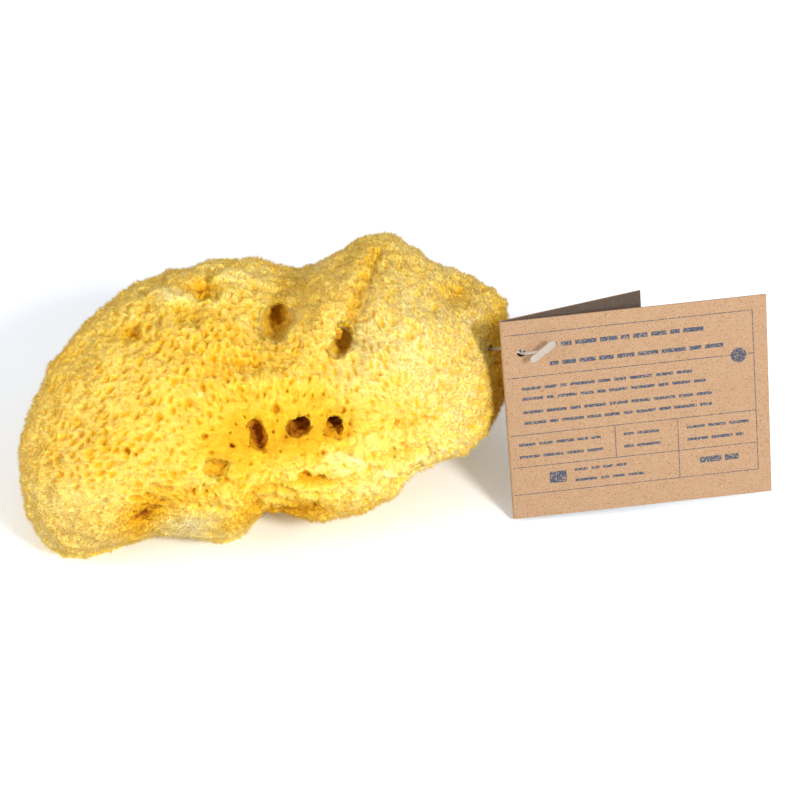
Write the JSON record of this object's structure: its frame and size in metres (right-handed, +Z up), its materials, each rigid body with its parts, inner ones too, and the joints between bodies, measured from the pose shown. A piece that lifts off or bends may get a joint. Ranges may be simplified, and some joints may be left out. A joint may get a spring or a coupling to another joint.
{
  "type": "sea sponge with card tag",
  "caption": "Dry bath sponge from the sea: a soft lumpy cushion with open pores and a trimmed flat base, with a plain folded card tag pinned to its end.",
  "frame": {"origin": "on the sponge's trimmed flat base, which rests on the surface", "axes": "+X along the sponge's length, towards the card tag; -Y is the front, which the pored face looks to and up from; +Z is up, away from the base"},
  "size_m": [0.2308, 0.1104, 0.0689],
  "materials": {
    "sponge_fibre": "matte",
    "kraft_card": "matte",
    "clear_nylon": "satin"
  },
  "bodies": {
    "root": {"sponge": "sponge_fibre", "card_tag": "kraft_card", "tag_pin": "clear_nylon"}
  },
  "joints": []
}
